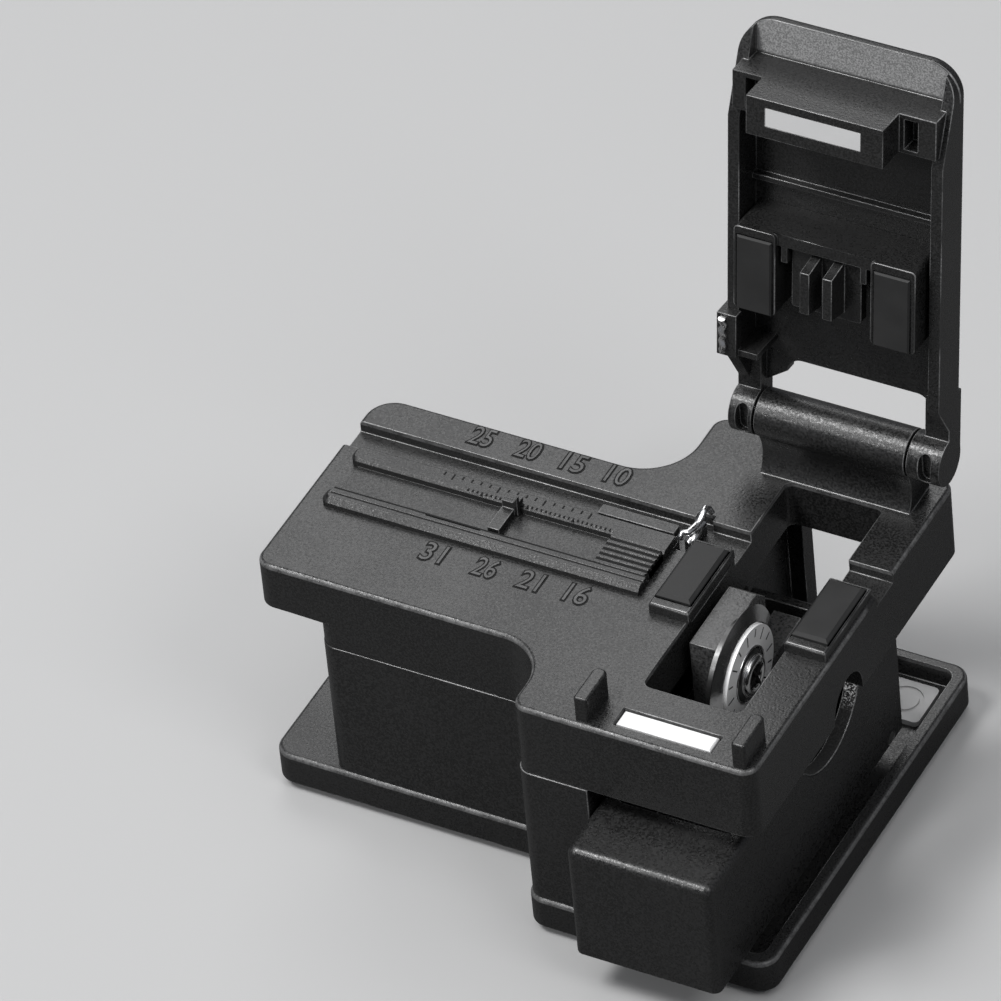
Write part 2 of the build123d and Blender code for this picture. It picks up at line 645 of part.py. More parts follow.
# Lid: a ribbed tray with two hinge arms, a ledge and the block that holds its magnet
magnet_face_z = hinge_z - deck_z - shut_gap
pad_face_z = hinge_z - deck_z - pad_top - upper_pad_gap
left_arm_right = barrel_left - hinge_side_gap
right_arm_left = barrel_right + hinge_side_gap
pocket_v = hinge_y - post_front - post_length / 2
slot_foot = hinge_r + 0.6
arm_z = lid_back + arm_depth
rim_cut = [lid_plane(height).from_local_coords((0, v, 0)) for v, height in (
    (-1, arm_z), (rim_end - rim_end_slope, arm_z), (rim_end, lid_rim_z + 0.1), (-1, lid_rim_z + 0.1))]
with BuildPart() as lid:
    with BuildSketch(lid_plane(lid_back)):
        add(rectangle(lid_left, lid_right, 0, lid_length))
    extrude(amount=lid_rim_z - lid_back)
    upright = lid.edges().filter_by(Axis((0, 0, 0), lid_n))
    tip_corners = upright.group_by(Axis((0, 0, 0), lid_v))[-1]
    fillet(tip_corners, lid_corner_r)
    fillet(lid.faces().sort_by(Axis((0, 0, 0), lid_n))[0].edges().filter_by(Axis.X, reverse=True), 0.8)
    with BuildSketch(lid_plane(lid_floor)):
        add(rectangle(lid_left + lid_rim, lid_right - lid_rim, -1, lid_length + 1))
    extrude(amount=lid_rim_z - lid_floor, mode=Mode.SUBTRACT)
    with BuildSketch(Plane.YZ.offset(lid_left - 1)):
        with BuildLine():
            tip_low = lid_plane(lid_floor).from_local_coords((0, lid_length + 1, 0))
            tip_high = lid_plane(lid_rim_z + 1).from_local_coords((0, lid_length + 1, 0))
            fade = lid_plane(lid_rim_z + 1).from_local_coords((0, magnet_block_front - rim_fade, 0))
            Polyline((tip_low.Y, tip_low.Z), (tip_high.Y, tip_high.Z), (fade.Y, fade.Z), close=True)
        make_face()
    extrude(amount=lid_right - lid_left + 2, mode=Mode.SUBTRACT)
    with BuildSketch(Plane.YZ.offset(lid_left - 1)):
        Polygon(*[(corner.Y, corner.Z) for corner in rim_cut], align=None)
    extrude(amount=lid_right - lid_left + 2, mode=Mode.SUBTRACT)
    with BuildSketch(lid_plane(lid_back - 1)):
        add(rectangle(lid_slot_left, lid_slot_right, -1, lid_slot_top, lid_slot_r))
        add(rectangle(left_arm_right, right_arm_left, -1, slot_foot))
        Polygon((lid_slot_left, lid_slot_top - lid_slot_r), (left_arm_right, slot_foot),
                (lid_slot_left, slot_foot), align=None)
    extrude(amount=lid_rim_z - lid_back + 2, mode=Mode.SUBTRACT)
    with BuildSketch(lid_plane(lid_floor)):
        add(rectangle(lid_left + lid_rim, lid_right - lid_rim, ledge_top - ledge_width, ledge_top))
    extrude(amount=ledge_height)
    with BuildSketch(lid_plane(lid_floor)):
        add(rectangle(lid_left + lid_rim / 2, lid_right - lid_rim / 2, magnet_block_front, magnet_block_rear))
    extrude(amount=magnet_block_side_z - lid_floor)
    with BuildSketch(lid_plane(lid_floor)):
        add(rectangle(magnet_block_left, magnet_block_right, magnet_block_front, magnet_block_rear))
    extrude(amount=magnet_face_z - lid_floor)
    with BuildSketch(lid_plane(magnet_face_z)):
        add(rectangle(magnet_x - magnet_length / 2, magnet_x + magnet_length / 2,
                      magnet_v - magnet_width / 2, magnet_v + magnet_width / 2))
    extrude(amount=-magnet_depth, mode=Mode.SUBTRACT)
    with BuildSketch(lid_plane(magnet_block_side_z)):
        for x in post_x:
            add(rectangle(x - post_pocket_width / 2, x + post_pocket_width / 2,
                          pocket_v - post_pocket_length / 2, pocket_v + post_pocket_length / 2))
    extrude(amount=-post_pocket_depth, mode=Mode.SUBTRACT)
    for knuckle_left, knuckle_right in ((lid_left, left_arm_right), (right_arm_left, lid_right)):
        with BuildSketch(Plane.YZ.offset(knuckle_left)):
            with Locations((hinge_y, hinge_z)):
                Circle(hinge_r)
        extrude(amount=knuckle_right - knuckle_left)
        with BuildSketch(lid_plane(lid_back)):
            add(rectangle(knuckle_left if knuckle_left < 0 else lid_slot_right, knuckle_right,
                          0, lid_slot_top + 1))
        extrude(amount=arm_depth)
    with BuildSketch(Plane.YZ.offset(lid_left + 0.7)):
        with Locations((hinge_y, hinge_z)):
            Circle(hinge_pin_r + hinge_pin_gap)
    extrude(amount=lid_right - lid_left - 1.4, mode=Mode.SUBTRACT)
    with BuildSketch(Plane.XZ.offset(hinge_r - hinge_y)):
        with Locations(*[(x, hinge_z + knuckle_slot_rise) for x in knuckle_slot_x]):
            SlotOverall(knuckle_slot_height, knuckle_slot_width, rotation=90)
    extrude(amount=-knuckle_slot_depth, mode=Mode.SUBTRACT)
lid.part.label = "lid"
export_step(lid.part, "parts/lid.step")

# Magnet let into the face of the lid's block
with BuildPart() as lid_magnet:
    with BuildSketch(lid_plane(magnet_face_z - magnet_depth)):
        add(rectangle(magnet_x - magnet_length / 2 + magnet_seat, magnet_x + magnet_length / 2 - magnet_seat,
                      magnet_v - magnet_width / 2 + magnet_seat, magnet_v + magnet_width / 2 - magnet_seat))
    extrude(amount=magnet_depth)
lid_magnet.part.label = "lid_magnet"
export_step(lid_magnet.part, "parts/lid_magnet.step")

# Pressure block: two pad holders joined by a frame that the anvil slides in
with BuildPart() as pressure_block:
    with BuildSketch(lid_plane(lid_floor)):
        add(rectangle(pressure_left_x[0], pressure_right_x[1], pressure_front, pressure_rear, 0.5))
    extrude(amount=pressure_base)
    for left, right in (pressure_left_x, pressure_right_x):
        with BuildSketch(lid_plane(lid_floor)):
            add(rectangle(left, right, pressure_front, pressure_rear, 0.5))
        extrude(amount=pressure_z - lid_floor)
    with BuildSketch(lid_plane(lid_floor)):
        add(rectangle(pressure_left_x[1] - 1, pressure_right_x[0] + 1, anvil_rear + anvil_gap, pressure_rear))
    extrude(amount=pressure_frame_z - lid_floor)
    for left, right in ((anvil_left - anvil_gap - frame_leg, anvil_left - anvil_gap),
                        (anvil_right + anvil_gap, anvil_right + anvil_gap + frame_leg)):
        with BuildSketch(lid_plane(lid_floor)):
            add(rectangle(left, right, anvil_rear - frame_leg_length, pressure_rear - 0.3))
        extrude(amount=pressure_frame_z - lid_floor)
    for left, right in (left_holder_x, right_holder_x):
        with BuildSketch(lid_plane(pressure_z)):
            add(rectangle(left + pad_edge - pad_gap, right - pad_edge + pad_gap,
                          hinge_y - pad_rear - pad_gap, hinge_y - pad_front + pad_gap))
        extrude(amount=-pad_sink, mode=Mode.SUBTRACT)
pressure_block.part.label = "pressure_block"
export_step(pressure_block.part, "parts/pressure_block.step")

for side, (left, right) in (("left", left_holder_x), ("right", right_holder_x)):
    with BuildPart() as upper_pad:
        with BuildSketch(lid_plane(pressure_z - pad_sink)):
            add(rectangle(left + pad_edge, right - pad_edge, hinge_y - pad_rear, hinge_y - pad_front))
        extrude(amount=pad_face_z - pressure_z + pad_sink)
        chamfer(upper_pad.faces().sort_by(Axis((0, 0, 0), lid_n))[-1].edges(), pad_face_z - pressure_z - 0.05)
    upper_pad.part.label = "upper_" + side + "_pad"
    export_step(upper_pad.part, "parts/upper_" + side + "_pad.step")

# Anvil: a sprung plate whose two fins straddle the edge of the blade
anvil_bottom = anvil_plate_z - anvil_plate_depth
anvil_mid_x = (anvil_left + anvil_right) / 2
anvil_mid_v = (anvil_front + anvil_rear) / 2
fin_corners = [lid_plane(height).from_local_coords((0, v, 0)) for v, height in (
    (fin_front - fin_slope, anvil_bottom), (fin_front - fin_slope, anvil_plate_z), (fin_front, fin_z),
    (fin_rear - fin_slope, fin_z), (fin_rear - 0.1, anvil_plate_z), (fin_rear - 0.1, anvil_bottom))]
with BuildPart() as anvil:
    with BuildSketch(lid_plane(anvil_bottom)):
        add(rectangle(anvil_left, anvil_right, anvil_front, anvil_rear, 0.3))
    extrude(amount=anvil_plate_depth)
    for side in (-1, 1):
        with BuildSketch(Plane.YZ.offset(side * fin_offset - fin_thickness / 2)):
            with BuildLine():
                Polyline(*[(corner.Y, corner.Z) for corner in fin_corners], close=True)
            make_face()
        extrude(amount=fin_thickness)
anvil.part.label = "anvil"
export_step(anvil.part, "parts/anvil.step")

# Spring behind the anvil
with BuildPart() as anvil_spring:
    with BuildSketch(lid_plane(lid_floor + pressure_base)):
        with Locations((anvil_mid_x, anvil_mid_v)):
            Circle(anvil_spring_r)
            Circle(anvil_spring_r - spring_wire, mode=Mode.SUBTRACT)
    extrude(amount=anvil_bottom - lid_floor - pressure_base)
anvil_spring.part.label = "anvil_spring"
export_step(anvil_spring.part, "parts/anvil_spring.step")

# Clip box beside the lid with the strip that presses on the fibre holder
with BuildPart() as lid_clip:
    with BuildSketch(lid_plane(lid_rim_z)):
        add(rectangle(clip_box_left, clip_box_left + clip_box_width, clip_box_front, clip_box_rear))
    extrude(amount=clip_box_z - lid_rim_z)
    with BuildSketch(lid_plane(lid_floor)):
        add(rectangle(clip_box_left, lid_left, clip_box_front, clip_box_rear))
    extrude(amount=clip_box_z - lid_floor)
    with BuildSketch(lid_plane(lid_floor)):
        add(rectangle(lid_left + lid_rim, clip_shelf_right, clip_box_front, clip_box_front + clip_shelf_thickness))
    extrude(amount=lid_rim_z - lid_floor)
    with BuildSketch(lid_plane(lid_rim_z)):
        add(rectangle(clip_box_left, clip_shelf_right, clip_box_front, clip_box_front + clip_shelf_thickness))
    extrude(amount=clip_shelf_thickness)
lid_clip.part.label = "lid_clip"
export_step(lid_clip.part, "parts/lid_clip.step")

with BuildPart() as clip_strip:
    with BuildSketch(lid_plane(clip_box_z)):
        add(rectangle(clip_box_left + 0.35, clip_box_left + 1.15, clip_box_front + 0.4, clip_box_rear - 0.4))
    extrude(amount=0.3)
clip_strip.part.label = "clip_strip"
export_step(clip_strip.part, "parts/clip_strip.step")

# Linear rail in the tray with its screws, and the runner that rides it
rail_mid_y = (rail_front + rail_rear) / 2
half_rail = rail_width / 2
waist = rail_height * 0.55
with BuildPart() as linear_rail:
    with BuildSketch(Plane.XZ.offset(-rail_rear)):
        with Locations((rail_x, tray_floor)):
            Polygon((-half_rail, 0), (half_rail, 0), (half_rail, waist - rail_groove),
                    (half_rail - rail_groove, waist), (half_rail, waist + rail_groove),
                    (half_rail, rail_height), (-half_rail, rail_height), (-half_rail, waist + rail_groove),
                    (rail_groove - half_rail, waist), (-half_rail, waist - rail_groove), align=None)
    extrude(amount=rail_rear - rail_front)
    with Locations((rail_x, rail_mid_y, tray_floor + rail_height)):
        with GridLocations(1, rail_screw_pitch, 1, 3):
            CounterBoreHole(rail_screw_r + screw_gap, rail_screw_head_r + screw_gap,
                            rail_screw_head + 0.1, depth=rail_height)
linear_rail.part.label = "linear_rail"
export_step(linear_rail.part, "parts/linear_rail.step")

with BuildPart() as rail_screws:
    with BuildSketch(Plane.XY.offset(tray_floor)):
        with Locations((rail_x, rail_mid_y)):
            with GridLocations(1, rail_screw_pitch, 1, 3):
                Circle(rail_screw_r)
    extrude(amount=rail_height - rail_screw_head)
    with BuildSketch(Plane.XY.offset(tray_floor + rail_height - rail_screw_head - 0.1)):
        with Locations((rail_x, rail_mid_y)):
            with GridLocations(1, rail_screw_pitch, 1, 3):
                Circle(rail_screw_head_r)
    extrude(amount=rail_screw_head)
rail_screws.part.label = "rail_screws"
export_step(rail_screws.part, "parts/rail_screws.step")

runner_bottom = tray_floor + runner_lift
runner_top = runner_bottom + runner_height
half_slot = half_rail + running_gap
with BuildPart() as runner:
    with Locations((rail_x, runner_y, runner_bottom)):
        Box(runner_width, runner_length, runner_height, align=(Align.CENTER, Align.CENTER, Align.MIN))
    with BuildSketch(Plane.XZ.offset(-runner_y - runner_length / 2)):
        with Locations((rail_x, tray_floor)):
            Polygon((-half_slot, 0), (half_slot, 0), (half_slot, waist - rail_groove),
                    (half_slot - rail_groove, waist), (half_slot, waist + rail_groove),
                    (half_slot, rail_height + running_gap), (-half_slot, rail_height + running_gap),
                    (-half_slot, waist + rail_groove), (rail_groove - half_slot, waist),
                    (-half_slot, waist - rail_groove), align=None)
    extrude(amount=runner_length, mode=Mode.SUBTRACT)
runner.part.label = "runner"
export_step(runner.part, "parts/runner.step")

# Carriage: thumb block in front, open box with the blade in it behind
carriage_bottom = base_top + carriage_lift
carriage_left = bay_left + bay_gap
rail_tunnel_front = rail_front - carriage_travel - 0.6
spring_tunnel_front = spring_post_y - carriage_travel - 1.6
with BuildPart() as carriage:
    with BuildSketch(Plane.XY.offset(carriage_bottom)):
        add(rectangle(carriage_left, carriage_right, carriage_front, carriage_rear))
    extrude(amount=carriage_top - carriage_bottom)
    fillet(carriage.edges().filter_by(Axis.Z).group_by(Axis.Y)[0], carriage_corner_r)
    fillet(carriage.faces().sort_by(Axis.Z)[-1].edges(), carriage_corner_r)
    with BuildSketch(Plane.XY.offset(box_floor)):
        add(rectangle(carriage_left + box_wall, carriage_right - box_wall, box_front, carriage_rear - box_wall, 1.0))
    extrude(amount=carriage_top - box_floor, mode=Mode.SUBTRACT)
    with BuildSketch(Plane.YZ.offset(carriage_right - box_wall - 0.1)):
        with Locations((side_window_y, side_window_z)):
            Circle(side_window_r)
    extrude(amount=box_wall + 0.2, mode=Mode.SUBTRACT)
    with Locations((rail_x, runner_y, carriage_bottom)):
        Box(runner_width, runner_length, runner_top - carriage_bottom,
            align=(Align.CENTER, Align.CENTER, Align.MIN), mode=Mode.SUBTRACT)
    with BuildSketch(Plane.XY.offset(carriage_bottom)):
        add(rectangle(rail_x - rail_width / 2 - 0.3, rail_x + rail_width / 2 + 0.3, rail_tunnel_front, carriage_rear))
    extrude(amount=tray_floor + rail_height + 0.3 - carriage_bottom, mode=Mode.SUBTRACT)
    with BuildSketch(Plane.XY.offset(carriage_bottom)):
        add(rectangle(spring_x - spring_slot_width / 2, spring_x + spring_slot_width / 2,
                      spring_tunnel_front, spring_pin_y + 2))
    extrude(amount=spring_z + spring_r + spring_slot_clear - carriage_bottom, mode=Mode.SUBTRACT)
    with BuildSketch(Plane.YZ.offset(carriage_right - spring_pin_length)):
        with Locations((spring_pin_y, spring_z)):
            Circle(spring_pin_r)
    extrude(amount=spring_pin_length, mode=Mode.SUBTRACT)
carriage.part.label = "carriage"
export_step(carriage.part, "parts/carriage.step")

# Pin in the carriage, post in the tray and the extension spring between them
with BuildPart() as spring_pin:
    with BuildSketch(Plane.YZ.offset(carriage_right - spring_pin_length)):
        with Locations((spring_pin_y, spring_z)):
            Circle(spring_pin_r - 0.02)
    extrude(amount=spring_pin_length - 0.1)
spring_pin.part.label = "spring_pin"
export_step(spring_pin.part, "parts/spring_pin.step")

with BuildPart() as spring_post:
    with BuildSketch(Plane.XY.offset(tray_floor)):
        with Locations((spring_x, spring_post_y)):
            Circle(spring_post_r)
    extrude(amount=spring_z + spring_post_r - tray_floor)
spring_post.part.label = "spring_post"
export_step(spring_post.part, "parts/spring_post.step")

spring_front = spring_post_y + spring_post_r
spring_rear = spring_pin_y - spring_pin_r
with BuildPart() as return_spring:
    with BuildSketch(Plane.XZ.offset(-spring_rear)):
        with Locations((spring_x, spring_z)):
            Circle(spring_r)
            Circle(spring_r - spring_wire, mode=Mode.SUBTRACT)
    extrude(amount=spring_rear - spring_front)
return_spring.part.label = "return_spring"
export_step(return_spring.part, "parts/return_spring.step")

# Blade holder standing in the carriage
with BuildPart() as blade_holder:
    with BuildSketch(Plane.XY.offset(box_floor)):
        add(rectangle(tower_base_left, tower_base_right, tower_front, tower_foot_rear))
    extrude(amount=tower_base_top - box_floor)
    with BuildSketch(Plane.XY.offset(tower_base_top)):
        add(rectangle(tower_left, tower_right, tower_rear, tower_foot_rear))
    extrude(amount=tower_foot_height)
    with BuildSketch(Plane.XY.offset(tower_base_top)):
        add(rectangle(tower_left, tower_right, tower_front, tower_rear))
    extrude(amount=tower_top - tower_base_top)
    top_ring = blade_holder.faces().sort_by(Axis.Z)[-1].edges()
    chamfer(top_ring.sort_by(Axis.Y)[-1], tower_chamfer)
    with BuildSketch(Plane.YZ.offset(tower_left)):
        with Locations((hub_y, hub_z)):
            Circle(shaft_r + shaft_gap)
    extrude(amount=tower_right - tower_left, mode=Mode.SUBTRACT)
    with BuildSketch(Plane.YZ.offset(tower_base_left)):
        with Locations((height_screw_y, height_screw_z)):
            Circle(height_screw_shank_r + screw_gap)
    extrude(amount=tower_base_right - tower_base_left, mode=Mode.SUBTRACT)
blade_holder.part.label = "blade_holder"
export_step(blade_holder.part, "parts/blade_holder.step")

with BuildPart() as height_screw:
    with BuildSketch(Plane.YZ.offset(tower_base_left + 0.5)):
        with Locations((height_screw_y, height_screw_z)):
            Circle(height_screw_shank_r)
    extrude(amount=height_screw_face - tower_base_left - 0.5)
    with BuildSketch(Plane.YZ.offset(height_screw_face - height_screw_head)):
        with Locations((height_screw_y, height_screw_z)):
            Circle(height_screw_r)
    extrude(amount=height_screw_head)
height_screw.part.label = "height_screw"
export_step(height_screw.part, "parts/height_screw.step")

# Blade stack, from the drum on the holder out to the screw
blade_back = -blade_thickness / 2
dial_back = blade_thickness / 2
dial_front = dial_back + dial_thickness
with BuildPart() as blade_drum:
    with BuildSketch(Plane.YZ.offset(tower_right + face_gap)):
        with Locations((hub_y, hub_z)):
            Circle(drum_r)
    extrude(amount=blade_back - tower_right - face_gap)
    with BuildSketch(Plane.YZ.offset(tower_left + 0.3)):
        with Locations((hub_y, hub_z)):
            Circle(shaft_r)
    extrude(amount=tower_right - tower_left)
blade_drum.part.label = "blade_drum"
export_step(blade_drum.part, "parts/blade_drum.step")

with BuildPart() as blade:
    with BuildSketch(Plane.XY.offset(hub_z)):
        with BuildLine():
            Polyline((blade_back, hub_y), (dial_back, hub_y), (dial_back, hub_y + blade_r - blade_bevel),
                     (blade_edge_x, hub_y + blade_r), (blade_back, hub_y + blade_r - blade_back_bevel), close=True)
        make_face()
    revolve(axis=Axis((0, hub_y, hub_z), (1, 0, 0)))
blade.part.label = "blade"
export_step(blade.part, "parts/blade.step")

with BuildPart() as blade_dial:
    with BuildSketch(Plane.YZ.offset(dial_back)):
        with Locations((hub_y, hub_z)):
            Circle(dial_r)
            Circle(dial_recess_r, mode=Mode.SUBTRACT)
    extrude(amount=dial_thickness)
blade_dial.part.label = "blade_dial"
export_step(blade_dial.part, "parts/blade_dial.step")

with BuildPart() as blade_screw:
    with BuildSketch(Plane.YZ.offset(dial_back)):
        with Locations((hub_y, hub_z)):
            Circle(blade_head_r)
    extrude(amount=blade_head_height)
    with BuildSketch(Plane.YZ.offset(dial_back + 0.2)):
        with Locations((hub_y, hub_z)):
            RegularPolygon(blade_socket_r, 6)
    extrude(amount=blade_head_height, mode=Mode.SUBTRACT)
blade_screw.part.label = "blade_screw"
export_step(blade_screw.part, "parts/blade_screw.step")

# Buffer pad on the floor of the tray
with BuildPart() as buffer_pad:
    with BuildSketch(Plane.XY.offset(tray_floor)):
        add(rectangle(buffer_x - buffer_size / 2, buffer_x + buffer_size / 2,
                      buffer_y - buffer_size / 2, buffer_y + buffer_size / 2, 0.6))
    extrude(amount=buffer_height)
    with BuildSketch(Plane.XY.offset(tray_floor + buffer_height)):
        with Locations((buffer_x, buffer_y)):
            Circle(buffer_size * 0.36)
            Circle(buffer_size * 0.27, mode=Mode.SUBTRACT)
    extrude(amount=-buffer_height / 3, mode=Mode.SUBTRACT)
buffer_pad.part.label = "buffer_pad"
export_step(buffer_pad.part, "parts/buffer_pad.step")
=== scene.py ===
import math
import bmesh
import bpy
from mathutils import Matrix, Vector


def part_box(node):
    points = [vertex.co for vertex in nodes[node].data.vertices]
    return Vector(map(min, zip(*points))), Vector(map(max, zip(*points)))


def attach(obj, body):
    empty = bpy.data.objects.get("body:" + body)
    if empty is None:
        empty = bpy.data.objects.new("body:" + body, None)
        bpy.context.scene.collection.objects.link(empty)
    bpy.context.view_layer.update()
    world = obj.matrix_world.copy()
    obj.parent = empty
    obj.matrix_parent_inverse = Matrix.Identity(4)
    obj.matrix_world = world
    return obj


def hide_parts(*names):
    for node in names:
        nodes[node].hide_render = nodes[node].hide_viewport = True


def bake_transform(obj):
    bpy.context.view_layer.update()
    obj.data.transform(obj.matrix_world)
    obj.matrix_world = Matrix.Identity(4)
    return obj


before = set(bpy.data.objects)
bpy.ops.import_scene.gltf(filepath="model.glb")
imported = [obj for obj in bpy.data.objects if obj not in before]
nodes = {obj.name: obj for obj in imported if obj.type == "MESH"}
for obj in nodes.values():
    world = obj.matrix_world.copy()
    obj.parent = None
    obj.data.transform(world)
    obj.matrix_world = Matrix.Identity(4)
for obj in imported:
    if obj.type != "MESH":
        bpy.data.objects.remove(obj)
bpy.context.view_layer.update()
mm = 0.001
print("frame loaded")


def boxMiddle(name):
    low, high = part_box(name)
    return (low + high) / 2


# shader helpers
class Sock:
    # one output socket of a node tree, with arithmetic
    def __init__(self, tree, socket):
        self.tree = tree
        self.socket = socket

    def math(self, operation, other=None, swap=False):
        node = self.tree.nodes.new("ShaderNodeMath")
        node.operation = operation
        pair = [other, self] if swap else [self, other]
        for index, value in enumerate(pair):
            if isinstance(value, Sock):
                self.tree.links.new(value.socket, node.inputs[index])
            elif value is not None:
                node.inputs[index].default_value = value
        return Sock(self.tree, node.outputs[0])

    def __add__(self, other): return self.math("ADD", other)
    def __radd__(self, other): return self.math("ADD", other, True)
    def __sub__(self, other): return self.math("SUBTRACT", other)
    def __rsub__(self, other): return self.math("SUBTRACT", other, True)
    def __mul__(self, other): return self.math("MULTIPLY", other)
    def __rmul__(self, other): return self.math("MULTIPLY", other, True)
    def __pow__(self, other): return self.math("POWER", other)
    def __rpow__(self, other): return self.math("POWER", other, True)
    def __abs__(self): return self.math("ABSOLUTE")


class Shade:
    # a material being built around one principled shader
    def __init__(self, name):
        self.mat = bpy.data.materials.new(name)
        self.mat.use_nodes = True
        self.tree = self.mat.node_tree
        self.bsdf = self.tree.nodes["Principled BSDF"]
        self.coords = self.node("ShaderNodeTexCoord")("Object")

    def node(self, kind, settings=None, inputs=None):
        node = self.tree.nodes.new(kind)
        for key, value in (settings or {}).items():
            setattr(node, key, value)
        for key, value in (inputs or {}).items():
            if isinstance(value, Sock):
                self.tree.links.new(value.socket, node.inputs[key])
            else:
                node.inputs[key].default_value = value
        return lambda output=0: Sock(self.tree, node.outputs[output])

    def noise(self, scale, detail=3.0, rough=0.55, vector=None):
        inputs = {"Vector": vector or self.coords, "Scale": scale, "Detail": detail, "Roughness": rough}
        return self.node("ShaderNodeTexNoise", None, inputs)("Fac")

    def voronoi(self, scale):
        return self.node("ShaderNodeTexVoronoi", None, {"Vector": self.coords, "Scale": scale})("Distance")

    def ramp(self, value, low, high, start=0.0, end=1.0):
        inputs = {"Value": value, "From Min": low, "From Max": high, "To Min": start, "To Max": end}
        return self.node("ShaderNodeMapRange", {"clamp": True}, inputs)("Result")

    def mix(self, factor, first, second):
        return self.node("ShaderNodeMix", {"data_type": "RGBA"}, {0: factor, 6: first, 7: second})(2)

    def bump(self, height, strength, distance):
        inputs = {"Height": height, "Strength": strength, "Distance": distance}
        return self.node("ShaderNodeBump", None, inputs)("Normal")

    def set(self, **values):
        for key, value in values.items():
            name = key.replace("_", " ").title().replace("Ior", "IOR")
            if isinstance(value, Sock):
                self.tree.links.new(value.socket, self.bsdf.inputs[name])
            else:
                self.bsdf.inputs[name].default_value = value
        return self.mat


def grey(value):
    return (value, value, value, 1.0)


# finishes
def sparkPlastic(name, tone, grain, rough, extra=None, depth=0.05):
    # moulded plastic with a spark-eroded grain, its depth in mm; extra makes one part of the piece differ
    s = Shade(name)
    fine = s.noise(grain, 2.0, 0.6)
    speck = s.voronoi(grain * 0.8)
    broad = s.noise(90.0)
    colour = s.mix(s.ramp(fine, 0.42, 0.62), grey(tone * 0.55), grey(tone * 1.5))
    colour = s.mix(s.ramp(speck, 0.0, 0.25, 0.4, 0.0), colour, grey(tone * 3.0))
    colour = s.mix(s.ramp(broad, 0.4, 0.75, 0.0, 0.35), colour, grey(tone * 1.5))
    roughness = s.ramp(fine + broad * 0.3, 0.48, 0.85, rough - 0.12, rough + 0.16)
    if extra:
        y, z = [s.node("ShaderNodeSeparateXYZ", None, {"Vector": s.coords})(axis) for axis in ("Y", "Z")]
        other, where, dull = extra(s, tone, grain, y, z)
        colour = s.mix(where, colour, other)
        roughness = roughness + where * dull
    relief = s.bump(fine * 0.6 - speck * 0.4, 0.6, depth * mm)
    return s.set(base_color=colour, roughness=roughness, normal=relief, specular_ior_level=0.55)


def paintedHighlight(name, tone, rough):
    # painted highlight: the same plastic painted paler and glossier, in patches, standing for highlights on
    # edges and raised marks
    s = Shade(name)
    fine = s.noise(4200.0)
    run = s.noise(700.0, 2.0)
    breakup = s.noise(160.0, 2.0)
    colour = s.mix(s.ramp(fine + run * 0.5, 0.55, 0.95), grey(tone * 0.45), grey(tone * 1.4))
    colour = s.mix(s.ramp(breakup, 0.42, 0.6), grey(tone * 0.2), colour)
    return s.set(base_color=colour, roughness=s.ramp(run, 0.3, 0.7, rough, rough + 0.12),
                 normal=s.bump(fine, 0.3, 0.04 * mm), specular_ior_level=0.7)


def smoothRubber(name, tone, rough=0.62):
    s = Shade(name)
    fine = s.noise(5200.0)
    broad = s.noise(260.0, 4.0)
    colour = s.mix(s.ramp(broad, 0.3, 0.75), grey(tone * 0.85), grey(tone * 1.2))
    return s.set(base_color=colour, roughness=s.ramp(broad, 0.3, 0.8, rough - 0.06, rough + 0.1),
                 normal=s.bump(fine, 0.25, 0.03 * mm), specular_ior_level=0.4)


def metal(name, tone, rough, stretch=(1.0, 1.0, 1.0), dirt=0.25, metallic=1.0):
    # drawn or ground metal: streaks run along the axis with the smallest stretch
    s = Shade(name)
    mapped = s.node("ShaderNodeMapping", None, {"Vector": s.coords, "Scale": stretch})("Vector")
    streak = s.noise(2600.0, 4.0, 0.5, mapped)
    spots = s.noise(420.0, 5.0, 0.6)
    colour = s.mix(s.ramp(spots, 0.5, 0.8, 0.0, dirt), grey(tone), grey(tone * 0.55))
    return s.set(base_color=colour, metallic=metallic, normal=s.bump(streak, 0.18, 0.01 * mm),
                 roughness=s.ramp(streak + spots * 0.4, 0.35, 1.0, rough, rough + 0.16))


# directions up the open lid and away from its floor
lidAngle = math.radians(81.7)
lidUp = Vector((0, math.cos(lidAngle), math.sin(lidAngle)))
lidOut = Vector((0, -math.sin(lidAngle), math.cos(lidAngle)))
hinge = boxMiddle("hinge_pin")

tip = {"start": 40.2, "floor": -1.0, "fade": 0.3, "near": (0.1, 0.16), "tones": (11.0, 21.0), "dull": 0.2}


def paintedLitTip(s, tone, grain, y, z):
    # painted light: the lid's floor beyond its magnet block is painted pale with a coarse grain, where light
    # falls on it
    along = y * lidUp.y + z * lidUp.z
    outward = y * lidOut.y + z * lidOut.z
    dark, pale = [grey(tone * share) for share in tip["tones"]]
    coarse = s.mix(s.ramp(s.noise(grain * 1.3, 2.0), 0.42, 0.6), dark, pale)
    near, far = [distance * mm for distance in tip["near"]]
    onFloor = s.ramp(abs(outward - (hinge.dot(lidOut) + tip["floor"] * mm)), near, far, 1.0, 0.0)
    start = hinge.dot(lidUp) + tip["start"] * mm
    return coarse, s.ramp(along, start, start + tip["fade"] * mm) * onFloor, tip["dull"]


sideHole = {"y": -2.0, "rise": 2.75, "radius": 6.9, "near": (0.16, 0.26), "patch": 2.6,
            "reach": (0.8, 2.4), "tones": (0.15, 34.0), "dull": 0.55}


